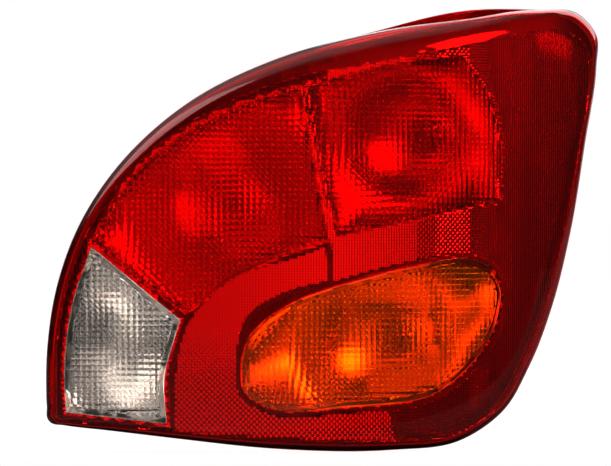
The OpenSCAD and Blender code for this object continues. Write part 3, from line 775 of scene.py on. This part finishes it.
# Studs: their places in hundredths of the lens, and their sizes in millimetres
STUDS = at([(-39.9, 2.1), (-6.8, 34.8), (23.9, -33.5)])
STUD_BACK = 22
STUD_SEAT = -1.5
STUD_ROOT = 9
STUD_CHAMFERS = (0.5, 0.2, 0.3)   # of the thread's end, the plain root and the collar
COLLAR_R = 5.2
THREAD_PITCH = 1        # M6 coarse thread
THREAD_CORE_R = 2.45
THREAD_TOP_R = 3
THREAD_FROM = 1.5       # plain run-out next to the collar
THREAD_END = 1          # plain length at the end
THREAD_STEPS = 24
RIDGE_SIDES = 3
RIDGE_SHARE = 0.7       # radius of the ridge's section, as a share of the thread's depth
BAR_SIDES = 24
BAR_EDGE = math.radians(60)


def clear_selection():
    """Selects nothing."""
    bpy.ops.object.select_all(action="DESELECT")


def applied(piece):
    bpy.ops.object.transform_apply(location=True, rotation=True, scale=True)
    return piece


def bar(radius, from_y, to_y, chamfer):
    """A round bar along y, with chamfered ends."""
    clear_selection()
    bpy.ops.mesh.primitive_cylinder_add(
        vertices=BAR_SIDES, radius=radius * MM, depth=(to_y - from_y) * MM,
        location=(0, (from_y + to_y) / 2 * MM, 0), rotation=(math.pi / 2, 0, 0))
    piece = bpy.context.object
    edge = piece.modifiers.new("chamfer", "BEVEL")
    edge.width = chamfer * MM
    edge.segments = 1
    edge.angle_limit = BAR_EDGE
    bpy.ops.object.modifier_apply(modifier=edge.name)
    return applied(piece)


def winding(sides, wire_r, radius, pitch, turns, steps, axis):
    """A wire of round or three-cornered section, wound round the x or the y axis."""
    clear_selection()
    bpy.ops.mesh.primitive_circle_add(vertices=sides, radius=wire_r * MM,
                                      rotation=(0, 0, -math.pi / 2))
    piece = applied(bpy.context.object)
    out = (radius * MM, 0, 0) if axis == "Y" else (0, radius * MM, 0)
    bpy.ops.object.mode_set(mode="EDIT")
    bpy.ops.mesh.select_all(action="SELECT")
    bpy.ops.transform.translate(value=out)
    bpy.ops.object.mode_set(mode="OBJECT")
    coil = piece.modifiers.new("winding", "SCREW")
    coil.axis = axis
    coil.screw_offset = pitch * MM
    coil.iterations = turns
    coil.steps = coil.render_steps = steps
    bpy.ops.object.modifier_apply(modifier=coil.name)
    bpy.ops.object.mode_set(mode="EDIT")
    bpy.ops.mesh.select_all(action="SELECT")
    bpy.ops.mesh.fill_holes(sides=sides)
    bpy.ops.mesh.select_all(action="SELECT")
    bpy.ops.mesh.normals_make_consistent(inside=False)
    bpy.ops.object.mode_set(mode="OBJECT")
    return piece


def picked(parts):
    """Selects these parts alone, with the first one active."""
    clear_selection()
    for part in parts:
        part.select_set(True)
    bpy.context.view_layer.objects.active = parts[0]


def moved(piece, place):
    """Moves a piece by a place in millimetres."""
    picked([piece])
    bpy.ops.transform.translate(value=[p * MM for p in place])
    return applied(piece)


def joined(parts, name, finish):
    picked(parts)
    bpy.ops.object.join()
    piece = bpy.context.object
    piece.name = name
    piece.data.materials.clear()
    piece.data.materials.append(finish)
    smooth(piece, SMOOTH_ANGLE)
    return piece


def copied(piece, place):
    picked([piece])
    bpy.ops.object.duplicate(linked=False)
    return moved(bpy.context.object, place)


def threaded_studs():
    """Three M6 studs, each with its collar and thread."""
    ridge_r = (THREAD_TOP_R - THREAD_CORE_R) * RIDGE_SHARE
    turns = int((STUD_BACK - THREAD_FROM - THREAD_END) / THREAD_PITCH)
    end, root, collar = STUD_CHAMFERS
    parts = [bar(THREAD_CORE_R, STUD_SEAT, STUD_BACK, end),
             bar(THREAD_TOP_R, STUD_SEAT - STUD_ROOT, THREAD_FROM, root),
             bar(COLLAR_R, STUD_SEAT, 0, collar)]
    ridge = winding(RIDGE_SIDES, ridge_r, THREAD_TOP_R - ridge_r, THREAD_PITCH, turns,
                    THREAD_STEPS, "Y")
    parts.append(moved(ridge, (0, THREAD_FROM, 0)))
    stud = joined(parts, "stud", zinc_steel)
    rest = [copied(stud, (x, 0, z)) for x, z in STUDS[1:]]
    first = moved(stud, (STUDS[0][0], 0, STUDS[0][1]))
    return joined([first] + rest, "fixing_studs_threaded", zinc_steel)


# Filaments: the coils and the leads that hold them
COIL_L = 6
COIL_R = 0.4
COIL_WIRE_R = 0.1
COIL_PITCH = 0.3
COIL_SIDES = 6
COIL_STEPS = 12
LEAD_R = 0.25
LEAD_CHAMFER = 0.1
STEM_Y = -18


def coils(name, axis, rises):
    """Coiled filaments side by side, each on its two leads."""
    parts = []
    for rise in rises:
        x, z = axis[0], axis[1] + rise
        turns = int(COIL_L / COIL_PITCH)
        coil = winding(COIL_SIDES, COIL_WIRE_R, COIL_R, COIL_PITCH, turns, COIL_STEPS, "X")
        parts.append(moved(coil, (x - COIL_L / 2, FILAMENT_Y, z)))
        for side in (-1, 1):
            lead = bar(LEAD_R, FILAMENT_Y - LEAD_R, STEM_Y, LEAD_CHAMFER)
            parts.append(moved(lead, (x + side * COIL_L / 2, 0, z)))
    return joined(parts, name, tungsten)


studs = threaded_studs()
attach(studs, "root")
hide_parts("fixing_studs")
FILAMENTS = (("tail_brake_bulb_filaments", 0, (-2.5, 2.5)), ("fog_bulb_filament", 1, (0,)),
             ("indicator_bulb_filament", 3, (0,)), ("reversing_bulb_filament", 2, (0,)))
for bulb, bowl, rises in FILAMENTS:
    coil = coils(bulb + "_coiled", at([BOWLS[bowl][1]])[0], rises)
    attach(coil, "root")
    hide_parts(bulb)
rim = rim_strip()
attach(rim, "root")
housing = metallised_housing()
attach(housing, "root")
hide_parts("housing")

# Stage: a paper floor that ends just ahead of the lens, so that the lens doesn't mirror it.
# It is white to the camera, and pale where it is seen through the acrylic
FLOOR_SIZE = 8
FLOOR_AHEAD = 0.12
WHITE = 0.96
WHITE_THROUGH = 0.25
clear_selection()
bpy.ops.mesh.primitive_plane_add(size=FLOOR_SIZE,
                                 location=(0, FLOOR_SIZE / 2 - FLOOR_AHEAD, cad_low[2]))
floor = bpy.context.object
floor.name = "floor"
paper = material("grey paper", Base_Color=colour("#5c5c5c"), Roughness=0.9,
                 Emission_Color=(1, 1, 1, 1))
seen = add(paper, "ShaderNodeLightPath")
share = add(paper, "ShaderNodeMath", {"operation": "MULTIPLY_ADD", 1: WHITE_THROUGH},
            {0: seen.outputs["Is Transmission Ray"], 2: seen.outputs["Is Camera Ray"]})
add(paper, "ShaderNodeMath", {"operation": "MULTIPLY", 1: WHITE}, {0: share.outputs[0]},
    paper.node_tree.nodes["Principled BSDF"].inputs["Emission Strength"])
floor.data.materials.append(paper)


def soft_box(name, size, place, power):
    """A rectangular light that faces the object."""
    light = bpy.data.lights.new(name, "AREA")
    light.shape = "RECTANGLE"
    light.size, light.size_y = size
    light.energy = power
    lamp = bpy.data.objects.new(name, light)
    scene.collection.objects.link(lamp)
    lamp.location = place
    lamp.rotation_euler = (-Vector(place)).to_track_quat("-Z", "Y").to_euler()


# Soft boxes, in metres and watts
soft_box("key", (2.2, 1.6), (-1.4, -1.3, 1.9), 30)
soft_box("back fill", (2.4, 1.6), (0.9, 2.1, 1.3), 25)

# The studio round the object, as patches of light: direction, inner and outer
# half angle in degrees, and strength. A negative one takes light away
ROOM = [
    ((0, 1, 0), 6, 25, 1.0),              # the white wall behind
    ((-0.3, 0.1, 1), 28, 52, 0.7),        # the pale ceiling
    ((0, -1, 0), 179, 180, 0.02),         # a trace from all round
    ((0, -0.7, -1), 25, 50, 0.25),        # the table in front
]
# What the optics and the bowls catch through the lens
CAUGHT = [
    ((0, -1, 0), 55, 75, 1.7),            # the room in front
    ((0, -1, 0), 28, 38, -0.5),           # darker towards the camera
    ((0, -1, 0), 8, 25, -0.85),           # and darkest beside it
    ((0.42, -0.9, 0), 8, 30, 0.9),        # pale wall to the right of the camera
    ((0.8, -0.5, 0.4), 10, 28, 1.5),      # soft box high at the right
    ((0.83, -0.34, 0.44), 5, 13, 120.0),  # and its lamp
    ((-0.7, -0.6, -0.3), 10, 35, 5.0),    # reflector low at the left
]
world = bpy.data.worlds.new("studio")
scene.world = world
world.use_nodes = True
background = world.node_tree.nodes["Background"]
path = add(world, "ShaderNodeLightPath")
direction = add(world, "ShaderNodeTexCoord")


def lobe(way, inner, outer, strength):
    """A patch of light round a direction, from its inner to its outer half angle."""
    way = Vector(way).normalized()
    dot = add(world, "ShaderNodeVectorMath", {"operation": "DOT_PRODUCT", 1: way},
              {0: direction.outputs["Generated"]})
    limits = {"From Min": math.cos(math.radians(outer)), "From Max": math.cos(math.radians(inner)),
              "To Min": 0, "To Max": strength}
    return add(world, "ShaderNodeMapRange", limits, {"Value": dot.outputs["Value"]})


def combined(operation, a, b):
    """The result of one sum or product of two values."""
    return add(world, "ShaderNodeMath", {"operation": operation}, {0: a, 1: b}).outputs[0]


def total(patches):
    """The sum of a table of patches."""
    out = lobe(*patches[0]).outputs[0]
    for patch in patches[1:]:
        out = combined("ADD", out, lobe(*patch).outputs[0])
    return out


room = total(ROOM)
caught = combined("MULTIPLY", total(CAUGHT), path.outputs["Is Transmission Ray"])
light = combined("ADD", room, caught)
background.inputs["Color"].default_value = (1, 1, 1, 1)
pick = add(world, "ShaderNodeMix", {"data_type": "FLOAT", "B": 1.0},
           {"Factor": path.outputs["Is Camera Ray"], "A": light})
world.node_tree.links.new(pick.outputs["Result"], background.inputs["Strength"])

# Camera: far off and square on, as in the photograph; lens and film in millimetres
CAMERA_LENS = 263
CAMERA_FILM = 36
CAMERA_PLACE = (-0.0158, -2.4, 0.001)
camera_data = bpy.data.cameras.new("camera")
camera_data.lens = CAMERA_LENS
camera_data.sensor_width = CAMERA_FILM
camera = bpy.data.objects.new("camera", camera_data)
scene.collection.objects.link(camera)
camera.location = CAMERA_PLACE
camera.rotation_euler = (math.pi / 2, 0, 0)
scene.camera = camera
scene.view_settings.view_transform = "Standard"
